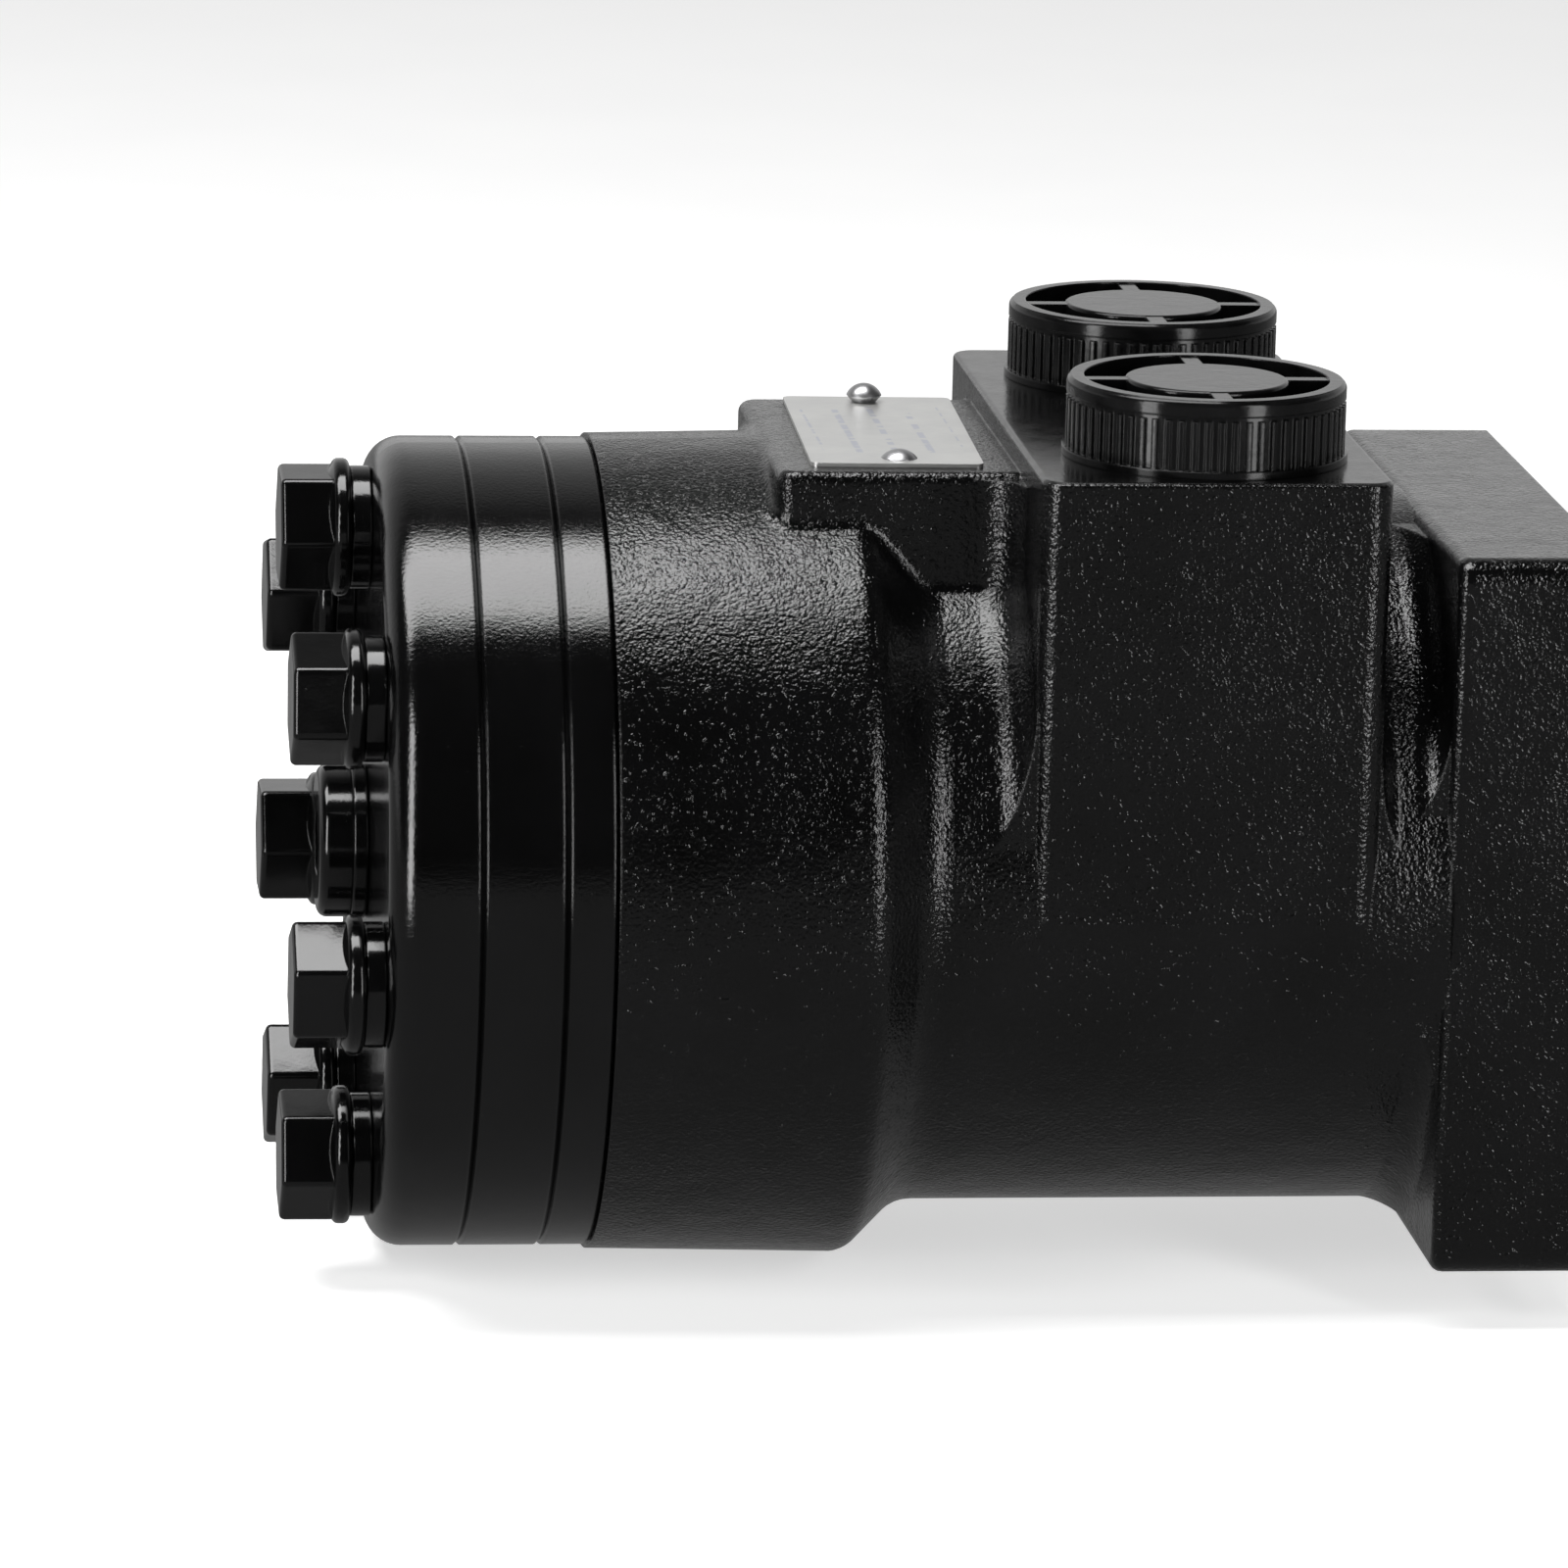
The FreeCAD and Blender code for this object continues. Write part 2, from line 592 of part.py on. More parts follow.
def crowned_spline(centre_x, half_length):
    """Barrel-shaped external spline about the shaft axis."""
    pieces = [rod(centre_x - half_length, centre_x + half_length, LINK_SPLINE_ROOT)]
    for angle in around(lambda degrees: degrees, SPLINE_COUNT, 0.0):
        tooth = box(centre_x - half_length, centre_x + half_length, LINK_TOOTH_WIDTH / 2,
                    LINK_BODY_RADIUS, LINK_SPLINE_TIP + 0.5)
        tooth.rotate(ORIGIN, AXIS_X, angle)
        pieces.append(tooth)
    bulge = half_length * 5.0
    barrel_centre = FreeCAD.Vector(centre_x, 0, LINK_SPLINE_TIP - bulge)
    top = barrel_centre + FreeCAD.Vector(0, 0, bulge)
    lean = math.asin(half_length / bulge)
    left = barrel_centre + FreeCAD.Vector(-half_length, 0, bulge * math.cos(lean))
    right = barrel_centre + FreeCAD.Vector(half_length, 0, bulge * math.cos(lean))
    arc = Part.Arc(left, top, right).toShape()
    foot_right = FreeCAD.Vector(right.x, 0, 0)
    foot_left = FreeCAD.Vector(left.x, 0, 0)
    sides = [Part.makeLine(right, foot_right), Part.makeLine(foot_right, foot_left),
             Part.makeLine(foot_left, left)]
    barrel = Part.Face(Part.Wire([arc] + sides)).revolve(ORIGIN, AXIS_X, 360)
    return fuse_all(pieces).common(barrel)


def make_drive_link():
    """Dog-bone link from the shaft to the orbiting star; it leans down to the star's axis."""
    body = rod(LINK_REAR_X, LINK_FRONT_X, LINK_BODY_RADIUS)
    link = fuse_all([
        body,
        crowned_spline(LINK_FRONT_X, LINK_FRONT_HALF),
        crowned_spline(LINK_REAR_X, LINK_REAR_HALF),
    ])
    lean = math.degrees(math.atan2(ECCENTRICITY, LINK_FRONT_X - LINK_REAR_X))
    link.rotate(FreeCAD.Vector(LINK_FRONT_X, 0, 0), FreeCAD.Vector(0, 1, 0), -lean)
    return link


# ---- output shaft and its bearing and seals ---------------------------------------------

def spool_slot(angle, x_from, x_to):
    """Axial slot in the spool that joins an annular groove to the timing windows."""
    slot = box(x_from, x_to, SLOT_WIDTH / 2, SPOOL_RADIUS - GROOVE_DEPTH, SPOOL_RADIUS + 1)
    slot.rotate(ORIGIN, AXIS_X, angle)
    return slot


def spool_cuts():
    cuts = []
    for groove_x in (GROOVE_REAR_X, GROOVE_FRONT_X):
        cuts.append(tube(groove_x - GROOVE_HALF_WIDTH, groove_x + GROOVE_HALF_WIDTH,
                         SPOOL_RADIUS + 1, SPOOL_RADIUS - GROOVE_DEPTH))
    pitch = 360.0 / (2 * LOBE_COUNT)
    for index in range(LOBE_COUNT):
        rear_angle = 2 * index * pitch
        cuts.append(spool_slot(rear_angle, GROOVE_REAR_X, WINDOW_X + PASSAGE_RADIUS))
        cuts.append(spool_slot(rear_angle + pitch, WINDOW_X - PASSAGE_RADIUS, GROOVE_FRONT_X))
    return cuts


def key_blank():
    """Parallel key with round ends, lying along the top of the shaft."""
    half = KEY_WIDTH / 2
    first = FreeCAD.Vector(KEY_START + half, 0, KEY_SEAT)
    last = FreeCAD.Vector(KEY_START + KEY_LENGTH - half, 0, KEY_SEAT)
    middle = box(first.x, last.x, half, KEY_SEAT, KEY_SEAT + KEY_WIDTH)
    ends = [Part.makeCylinder(half, KEY_WIDTH, first), Part.makeCylinder(half, KEY_WIDTH, last)]
    return fuse_all([middle] + ends)


def make_output_shaft():
    """Shaft in one piece with the hollow spool valve."""
    bevel = 1.5
    blank = turned([
        (SPOOL_REAR, 0),
        (SPOOL_REAR, SPOOL_RADIUS - 0.5),
        (SPOOL_REAR + 0.5, SPOOL_RADIUS),
        (SPOOL_FRONT, SPOOL_RADIUS),
        (SPOOL_FRONT, JOURNAL_RADIUS),
        (JOURNAL_END, JOURNAL_RADIUS),
        (JOURNAL_END, SHAFT_RADIUS),
        (SHAFT_END - bevel, SHAFT_RADIUS),
        (SHAFT_END, SHAFT_RADIUS - bevel),
        (SHAFT_END, 0),
    ])
    spline_rear = LINK_FRONT_X - LINK_FRONT_HALF - 2.0
    spline_front = LINK_FRONT_X + LINK_FRONT_HALF + 2.0
    cuts = spool_cuts()
    cuts.append(rod(SPOOL_REAR - 1, spline_rear, SPOOL_BORE))
    cuts.append(internal_spline(spline_rear - 1, spline_front))
    cuts.append(rod(spline_front - 0.1, spline_front + 6.0, SPLINE_BORE_ROOT + 0.3))
    cuts.append(rod(SHAFT_END - SHAFT_TAP_DEPTH, SHAFT_END + 1, SHAFT_TAP_RADIUS))
    cuts.append(key_blank())
    return blank.cut(cuts)


def make_thrust_race_rear():
    return tube(SPOOL_FRONT, SPOOL_FRONT + RACE_THICKNESS, THRUST_OUTER, THRUST_INNER - 0.4)


def make_thrust_race_front():
    return tube(THRUST_FRONT - RACE_THICKNESS, THRUST_FRONT, THRUST_OUTER, THRUST_INNER)


def needle_blank(angle, radius, length):
    """Radial needle between the races."""
    centre_x = SPOOL_FRONT + RACE_THICKNESS + THRUST_GAP / 2
    middle = (THRUST_INNER + THRUST_OUTER) / 2
    start = FreeCAD.Vector(centre_x, middle - length / 2, 0)
    needle = Part.makeCylinder(radius, length, start, FreeCAD.Vector(0, 1, 0))
    needle.rotate(ORIGIN, AXIS_X, angle)
    return needle


def make_thrust_needles():
    needles = around(lambda angle: needle_blank(angle, NEEDLE_RADIUS, NEEDLE_LENGTH), NEEDLE_COUNT)
    return Part.makeCompound(needles)


def make_thrust_cage():
    """Thin ring with a pocket for each needle."""
    centre_x = SPOOL_FRONT + RACE_THICKNESS + THRUST_GAP / 2
    ring = tube(centre_x - 0.6, centre_x + 0.6, THRUST_OUTER - 0.2, THRUST_INNER + 0.2)
    pocket = NEEDLE_RADIUS + 0.05
    return ring.cut(around(lambda angle: needle_blank(angle, pocket, NEEDLE_LENGTH + 0.1), NEEDLE_COUNT))


def make_shaft_seal():
    """Lip seal with a spring-side recess."""
    rear = SEAL_FRONT - SEAL_WIDTH
    ring = tube(rear, SEAL_FRONT, SEAL_POCKET_RADIUS, JOURNAL_RADIUS + LIP_CLEARANCE)
    return ring.cut(tube(rear - 1, SEAL_FRONT - 2.5, SEAL_POCKET_RADIUS - 1.4, JOURNAL_RADIUS + 1.6))


def make_seal_backup_ring():
    front = SEAL_FRONT - SEAL_WIDTH
    return tube(front - BACKUP_THICKNESS, front, SEAL_POCKET_RADIUS - 0.1, JOURNAL_RADIUS + 0.5)


def make_dust_seal():
    ring = tube(DUST_POCKET_REAR, 0.0, DUST_POCKET_RADIUS, JOURNAL_RADIUS + LIP_CLEARANCE)
    lip = tube(-0.1, 1.6, JOURNAL_RADIUS + 1.6, JOURNAL_RADIUS + LIP_CLEARANCE)
    return fuse_all([ring, lip])


# ---- fasteners --------------------------------------------------------------------------

def hexagon(across_flats, x_start, x_end):
    """Hexagonal bar about the shaft axis."""
    corner = across_flats / 2 / math.cos(math.radians(30))
    points = [polar(corner, 60 * index) for index in range(6)]
    return prism_x(points, x_start, x_end)


def cap_bolt(angle, turn):
    """Forged hex flange bolt with rounded corners."""
    seat = CAP_REAR - WASHER_THICKNESS
    hex_start = seat - BOLT_FLANGE_THICKNESS
    hex_end = hex_start - BOLT_HEX_HEIGHT
    head = hexagon(BOLT_HEX, hex_end, hex_start)
    corner = lambda e: e.BoundBox.XLength > BOLT_HEX_HEIGHT - 0.1
    head = fillet_edges(head, BOLT_HEX_ROUND, corner)
    outer_end = lambda e: e.BoundBox.XMax < hex_end + 1e-3
    head = fillet_edges(head, BOLT_END_ROUND, outer_end)
    head.rotate(ORIGIN, AXIS_X, turn)
    lip = hex_start + 0.4
    skirt = turned([
        (hex_start - 0.5, 0),
        (hex_start - 0.5, BOLT_HEX / 2),
        (lip, BOLT_FLANGE_RADIUS),
        (seat, BOLT_FLANGE_RADIUS),
        (seat, 0),
    ])
    skirt = fillet_edges(skirt, 0.85, lambda e: circle_edge_at(e, lip, BOLT_FLANGE_RADIUS))
    skirt = fillet_edges(skirt, 0.8, lambda e: circle_edge_at(e, seat, BOLT_FLANGE_RADIUS))
    shank = rod(seat - 0.1, HOUSING_REAR + BOLT_REACH, BOLT_SHANK_RADIUS)
    bolt = fuse_all([head, skirt, shank])
    y, z = polar(BOLT_CIRCLE_RADIUS, angle)
    bolt.translate(FreeCAD.Vector(0, y, z))
    return bolt


def make_cap_bolts():
    bolts = [cap_bolt(angle, turn) for angle, turn in zip(bolt_angles(), HEX_TURNS)]
    return Part.makeCompound(bolts)


def make_bolt_washers():
    washers = []
    for angle in bolt_angles():
        y, z = polar(BOLT_CIRCLE_RADIUS, angle)
        washer = tube(CAP_REAR - WASHER_THICKNESS, CAP_REAR, WASHER_RADIUS, BOLT_HOLE_RADIUS, y, z)
        rim = lambda e: e.BoundBox.ZLength > 2 * WASHER_RADIUS - 0.1 and e.BoundBox.XLength < 1e-3
        washers.append(fillet_edges(washer, 0.3, rim))
    return Part.makeCompound(washers)


def make_drain_plug():
    """Round-headed case drain plug with a hexagon socket."""
    seat = CAP_REAR - DRAIN_WASHER_THICKNESS
    head = rod(seat - DRAIN_HEAD_HEIGHT, seat, DRAIN_HEAD_RADIUS)
    end = seat - DRAIN_HEAD_HEIGHT
    head = fillet_edges(head, 1.3, lambda e: circle_edge_at(e, end, DRAIN_HEAD_RADIUS))
    stem = rod(seat - 0.1, CAP_REAR + DRAIN_STEM_LENGTH, DRAIN_STEM_RADIUS)
    socket = hexagon(7.94, end - 1, seat + 1.5)
    return fuse_all([head, stem]).cut(socket)


def make_drain_washer():
    washer = tube(CAP_REAR - DRAIN_WASHER_THICKNESS, CAP_REAR, DRAIN_WASHER_RADIUS, DRAIN_STEM_RADIUS)
    rim = lambda e: e.BoundBox.ZLength > 2 * DRAIN_WASHER_RADIUS - 0.1 and e.BoundBox.XLength < 1e-3
    return fillet_edges(washer, 0.4, rim)


# ---- nameplate --------------------------------------------------------------------------

def make_nameplate():
    """Thin plate with rounded corners, riveted on a little askew."""
    corner = FreeCAD.Vector(-PLATE_LENGTH / 2, -PLATE_WIDTH / 2, PAD_TOP)
    plate = Part.makeBox(PLATE_LENGTH, PLATE_WIDTH, PLATE_THICKNESS, corner)
    upright = lambda e: e.BoundBox.ZLength > PLATE_THICKNESS / 2
    plate = fillet_edges(plate, PLATE_CORNER, upright)
    plate.rotate(ORIGIN, AXIS_Z, PLATE_TURN)
    plate.translate(FreeCAD.Vector(PLATE_X, PLATE_Y, 0))
    return plate.cut(rivet_holes())


def make_rivets():
    """Two drive rivets with domed heads."""
    rivets = []
    for side in (-1, 1):
        y = side * RIVET_Y[side]
        seat = PAD_TOP + PLATE_THICKNESS + RIVET_PROUD[side]
        height = RIVET_HEAD_HEIGHT[side]
        ball = (RIVET_HEAD_RADIUS ** 2 + height ** 2) / (2 * height)
        centre = FreeCAD.Vector(PLATE_X, y, seat + height - ball)
        dome = Part.makeSphere(ball, centre)
        trim = Part.makeCylinder(ball, ball, FreeCAD.Vector(PLATE_X, y, seat))
        foot = FreeCAD.Vector(PLATE_X, y, PAD_TOP - RIVET_DEPTH)
        shank = Part.makeCylinder(RIVET_SHANK_RADIUS, seat + 0.1 - foot.z, foot)
        pieces = [dome.common(trim), shank]
        if RIVET_PROUD[side] > 0:
            under = FreeCAD.Vector(PLATE_X, y, seat - RIVET_PROUD[side])
            pieces.append(Part.makeCone(RIVET_UNDER_RADIUS, RIVET_HEAD_RADIUS, RIVET_PROUD[side], under))
        rivets.append(fuse_all(pieces))
    return Part.makeCompound(rivets)


# ---- port plugs -------------------------------------------------------------------------

def ribbed_ring(outer, groove, z_low, z_high):
    """Fine upright ribs round the side of a plug, as one prism."""
    points = []
    for index in range(PLUG_RIBS):
        for step, radius in ((0.0, groove), (0.34, groove), (0.50, outer), (0.84, outer)):
            y, z = polar(radius, 360.0 * (index + step) / PLUG_RIBS)
            points.append(FreeCAD.Vector(y, z, z_low))
    wire = Part.makePolygon(points + [points[0]])
    return Part.Face(wire).extrude(FreeCAD.Vector(0, 0, z_high - z_low))


def plug_blank():
    """Moulded shipping plug on the Z axis, seated at Z = 0."""
    rim = PLUG_RIM_RADIUS
    band = PLUG_HEIGHT - PLUG_COLLAR_HEIGHT
    body = Part.makeCylinder(rim - 0.45, PLUG_HEIGHT)
    skirt = Part.makeCylinder(rim + 0.4, PLUG_SKIRT_HEIGHT)
    ribs = ribbed_ring(rim, rim - PLUG_RIB_DEPTH, 0.6, band - 0.6)
    collar = Part.makeCylinder(rim, PLUG_COLLAR_HEIGHT, FreeCAD.Vector(0, 0, band))
    collar = fillet_edges(collar, 0.8, lambda e: e.BoundBox.ZMin > PLUG_HEIGHT - 1e-3)
    stem_foot = FreeCAD.Vector(0, 0, -PLUG_STEM_LENGTH)
    stem = Part.makeCylinder(PLUG_STEM_RADIUS, PLUG_STEM_LENGTH + 0.1, stem_foot)
    solid = fuse_all([body, skirt, ribs, collar, stem])
    floor = PLUG_HEIGHT - PLUG_WELL_DEPTH
    well = Part.makeCylinder(rim - PLUG_RIM_WIDTH, PLUG_HEIGHT, FreeCAD.Vector(0, 0, floor))
    hollow_foot = FreeCAD.Vector(0, 0, -PLUG_STEM_LENGTH - 1)
    hollow = Part.makeCylinder(PLUG_STEM_RADIUS - PLUG_STEM_WALL, PLUG_STEM_LENGTH, hollow_foot)
    solid = solid.cut([well, hollow])
    hub_foot = FreeCAD.Vector(0, 0, floor - 0.5)
    hub = Part.makeCylinder(PLUG_HUB_RADIUS, PLUG_HEIGHT - PLUG_HUB_DROP - hub_foot.z, hub_foot)
    hub = fillet_edges(hub, 0.5, lambda e: e.BoundBox.ZMin > PLUG_HEIGHT - 0.6)
    reach = rim - PLUG_RIM_WIDTH + 0.4
    depth = PLUG_HEIGHT - PLUG_SPOKE_DROP - hub_foot.z
    spokes = []
    for turn in (0, 90):
        corner = FreeCAD.Vector(-reach, -PLUG_SPOKE_WIDTH / 2, hub_foot.z)
        spoke = Part.makeBox(2 * reach, PLUG_SPOKE_WIDTH, depth, corner)
        spoke.rotate(ORIGIN, AXIS_Z, turn)
        spokes.append(spoke)
    return fuse_all([solid, hub] + spokes)


def make_port_plug(side):
    plug = plug_blank()
    plug.translate(FreeCAD.Vector(PORT_X, side * PORT_SPACING / 2, BLOCK_TOP))
    return plug


def make_parts():
    """Every separate piece of the motor, by node name."""
    parts = {
        "housing": make_housing(),
        "spacer_plate": make_spacer_plate(),
        "gerotor_ring": make_gerotor_ring(),
        "gerotor_star": make_gerotor_star(),
        "end_cap": make_end_cap(),
        "body_seals": make_body_seals(),
        "cap_bolts": make_cap_bolts(),
        "bolt_washers": make_bolt_washers(),
        "drain_plug": make_drain_plug(),
        "drain_washer": make_drain_washer(),
        "drive_link": make_drive_link(),
        "drive_spacer": make_drive_spacer(),
        "output_shaft": make_output_shaft(),
        "shaft_key": key_blank(),
        "thrust_race_rear": make_thrust_race_rear(),
        "thrust_race_front": make_thrust_race_front(),
        "thrust_cage": make_thrust_cage(),
        "thrust_needles": make_thrust_needles(),
        "shaft_seal": make_shaft_seal(),
        "seal_backup_ring": make_seal_backup_ring(),
        "dust_seal": make_dust_seal(),
        "port_plug_near": make_port_plug(-1),
        "port_plug_far": make_port_plug(1),
        "nameplate": make_nameplate(),
        "rivets": make_rivets(),
    }
    for index, angle in enumerate(roller_angles()):
        parts["roller_" + str(index + 1)] = make_roller(angle)
    return parts


os.makedirs("parts", exist_ok=True)
for name, shape in make_parts().items():
    print(name, "valid", shape.isValid(), "solids", len(shape.Solids), "volume", round(shape.Volume, 1))
    shape.exportStep("parts/" + name + ".step")
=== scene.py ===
import math

import bmesh
import bpy
from mathutils import Matrix, Vector


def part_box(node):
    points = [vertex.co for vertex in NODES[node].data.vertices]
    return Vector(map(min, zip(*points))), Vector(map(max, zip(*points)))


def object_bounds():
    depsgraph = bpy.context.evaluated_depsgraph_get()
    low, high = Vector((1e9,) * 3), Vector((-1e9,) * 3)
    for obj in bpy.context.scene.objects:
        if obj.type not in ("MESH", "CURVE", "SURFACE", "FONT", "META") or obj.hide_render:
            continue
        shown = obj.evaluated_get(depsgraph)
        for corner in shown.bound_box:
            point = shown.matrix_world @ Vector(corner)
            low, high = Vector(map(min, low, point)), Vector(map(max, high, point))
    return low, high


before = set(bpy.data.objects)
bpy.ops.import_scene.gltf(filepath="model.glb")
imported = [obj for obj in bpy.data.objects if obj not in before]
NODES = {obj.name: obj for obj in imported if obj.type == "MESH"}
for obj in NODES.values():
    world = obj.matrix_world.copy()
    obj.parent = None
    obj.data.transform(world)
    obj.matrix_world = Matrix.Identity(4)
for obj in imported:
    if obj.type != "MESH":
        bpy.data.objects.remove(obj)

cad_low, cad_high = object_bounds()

# The hydraulic motor lies along X, its shaft towards +X and its ports up, as in the CAD frame.
# Lengths are metres, except in the shaders, which work in millimetres: a texture scale of 1 is
# one feature per millimetre.
CAMERA_PLACE = Vector((-0.22035, -1.10209, 0.25835))
CAMERA_RIGHT = Vector((0.99401, -0.10663, 0.02398))
CAMERA_UP = Vector((0.00031, 0.22215, 0.97501))
CAMERA_LENS = 207.2
SENSOR_WIDTH = 36.0
MILLIMETRES = 1000.0

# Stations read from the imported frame
HOUSING_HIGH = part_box("housing")[1]
PLATE_LOW, PLATE_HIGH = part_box("nameplate")

# Where the cast skin fades into a calmer one, in millimetres of the CAD frame
PORT_FACE_FADE = (0.35, 0.1)            # below the top of the housing
BLOCK_REAR_FADE = (-72.0, -69.0)
BLOCK_FRONT_FADE = (-28.5, -26.0)
BLOCK_SIDE_FADE = (45.0, 45.7)
FLANGE_FADE = (-22.0, -20.0)

# How much of the cast skin is left there
PORT_FACE_SKIN = 0.12
BLOCK_SIDE_SKIN = 0.80
FLANGE_SKIN = 0.74

# Height of the bumps of the cast skin, in millimetres
GRAIN_DEPTH = 0.175
SWELL_DEPTH = 0.30

# Ruled fields of the data plate, as shares of its length and width
FIELD_ENDS = ((0.16, 0.17), (0.83, 0.84))
FIELD_SIDES = ((0.10, 0.11), (0.89, 0.90))
FIELD_ROWS = 5.0
FIELD_INK = (0.36, 0.39, 0.52, 1.0)

# Studio
OVERHEAD_CENTRE = (-0.40, 0.0, 0.90)
OVERHEAD_SIZE = (0.88, 0.46)
OVERHEAD_RADIANCE = 10.0
STRIP_AIM = (-0.048, -0.027)
STRIP_REACH = 0.45                      # from the point aimed at
STRIP_LIFT = 0.20                       # of its middle, above the floor
STRIP_SIZE = (0.10, 0.38)
STRIPS = (("left_strip", 55.6, 11.0), ("right_strip", -32.9, 9.0))    # name, turn, radiance
FLOOR_HALF = 6.0
FLOOR_GAP = 0.0002
FLOOR_GLOW = 0.55
FLOOR_IN_REFLECTIONS = 0.23
# Degrees from the horizon behind the motor, over the top and down to the front, and level there
BACKDROP = ((0.0, 0.74), (14.0, 0.76), (35.0, 0.48), (50.0, 0.32), (60.0, 0.11), (70.0, 0.03), (180.0, 0.02))


# ---------------------------------------------------------------- shader kit
class Shader:
    """A node material under construction. Its textures take the object's own coordinates, in millimetres."""

    def __init__(self, name):
        self.material = bpy.data.materials.new(name)
        self.material.use_nodes = True
        self.tree = self.material.node_tree
        self.tree.nodes.clear()
        self.output = self.node("ShaderNodeOutputMaterial")
        self.body = self.node("ShaderNodeBsdfPrincipled")
        self.join(self.body.outputs["BSDF"], self.output.inputs["Surface"])
        place = self.node("ShaderNodeTexCoord").outputs["Object"]
        scaled = self.node("ShaderNodeVectorMath", operation="SCALE")
        scaled.inputs["Scale"].default_value = MILLIMETRES
        self.join(place, scaled.inputs[0])
        self.place = scaled.outputs[0]
        self.split = self.node("ShaderNodeSeparateXYZ")
        self.join(self.place, self.split.inputs[0])

    def node(self, kind, **settings):
        made = self.tree.nodes.new(kind)
        for key, value in settings.items():
            setattr(made, key, value)
        return made

    def join(self, source, target):
        self.tree.links.new(source, target)

    def feed(self, target, value):
        if hasattr(value, "is_output"):
            self.join(value, target)
        else:
            target.default_value = value

    def axis(self, letter):
        return self.split.outputs[letter]

    def math(self, operation, first, second=0.0):
        made = self.node("ShaderNodeMath", operation=operation)
        self.feed(made.inputs[0], first)
        self.feed(made.inputs[1], second)
        return made.outputs[0]

    def span(self, value, low, high, to_low=0.0, to_high=1.0, smooth=False):
        made = self.node("ShaderNodeMapRange", clamp=True)
        made.interpolation_type = "SMOOTHSTEP" if smooth else "LINEAR"
        self.feed(made.inputs["Value"], value)
        limits = {"From Min": low, "From Max": high, "To Min": to_low, "To Max": to_high}
        for key, number in limits.items():
            self.feed(made.inputs[key], number)
        return made.outputs["Result"]

    def stretched(self, factors):
        made = self.node("ShaderNodeVectorMath", operation="MULTIPLY")
        self.join(self.place, made.inputs[0])
        made.inputs[1].default_value = factors
        return made.outputs[0]

    def noise(self, scale, detail=3.0, rough=0.5, distortion=0.0, stretch=None):
        made = self.node("ShaderNodeTexNoise")
        self.join(self.stretched(stretch) if stretch else self.place, made.inputs["Vector"])
        settings = {"Scale": scale, "Detail": detail, "Roughness": rough, "Distortion": distortion}
        for key, number in settings.items():
            made.inputs[key].default_value = number
        return made.outputs["Fac"]

    def cells(self, scale, smoothness):
        made = self.node("ShaderNodeTexVoronoi", feature="SMOOTH_F1")
        self.join(self.place, made.inputs["Vector"])
        made.inputs["Scale"].default_value = scale
        made.inputs["Smoothness"].default_value = smoothness
        return made.outputs["Distance"]

    def blend(self, factor, first, second):
        made = self.node("ShaderNodeMix", data_type="RGBA")
        self.feed(made.inputs[0], factor)
        self.feed(made.inputs[6], first)
        self.feed(made.inputs[7], second)
        return made.outputs[2]

    def bump(self, height, distance, under):
        made = self.node("ShaderNodeBump")
        made.inputs["Strength"].default_value = 1.0
        made.inputs["Distance"].default_value = distance / MILLIMETRES
        self.join(height, made.inputs["Height"])
        self.join(under, made.inputs["Normal"])
        return made.outputs["Normal"]

    def soft_edges(self, radius):
        made = self.node("ShaderNodeBevel")
        made.samples = 6
        made.inputs["Radius"].default_value = radius / MILLIMETRES
        return made.outputs["Normal"]

    def finish(self, colour, roughness, normal=None, **constants):
        self.feed(self.body.inputs["Base Color"], colour)
        self.feed(self.body.inputs["Roughness"], roughness)
        if normal is not None:
            self.join(normal, self.body.inputs["Normal"])
        for key, value in constants.items():
            self.body.inputs[key.replace("_", " ")].default_value = value
        return self.material


def grey(value, blue=1.0):
    return (value, value, value * blue, 1.0)


# ---------------------------------------------------------------- materials
def paint_colour(shader, low, high):
    """Black enamel: a slow drift in shade and a scatter of fine pale dust."""
    drift = shader.noise(0.06, 3.0, 0.55)
    shade = shader.blend(shader.span(drift, 0.3, 0.7), grey(low, 0.98), grey(high, 1.06))
    dust = shader.span(shader.noise(2.4, 2.0, 0.5), 0.755, 0.80)
    return shader.blend(shader.math("MULTIPLY", dust, 0.35), shade, grey(0.06))


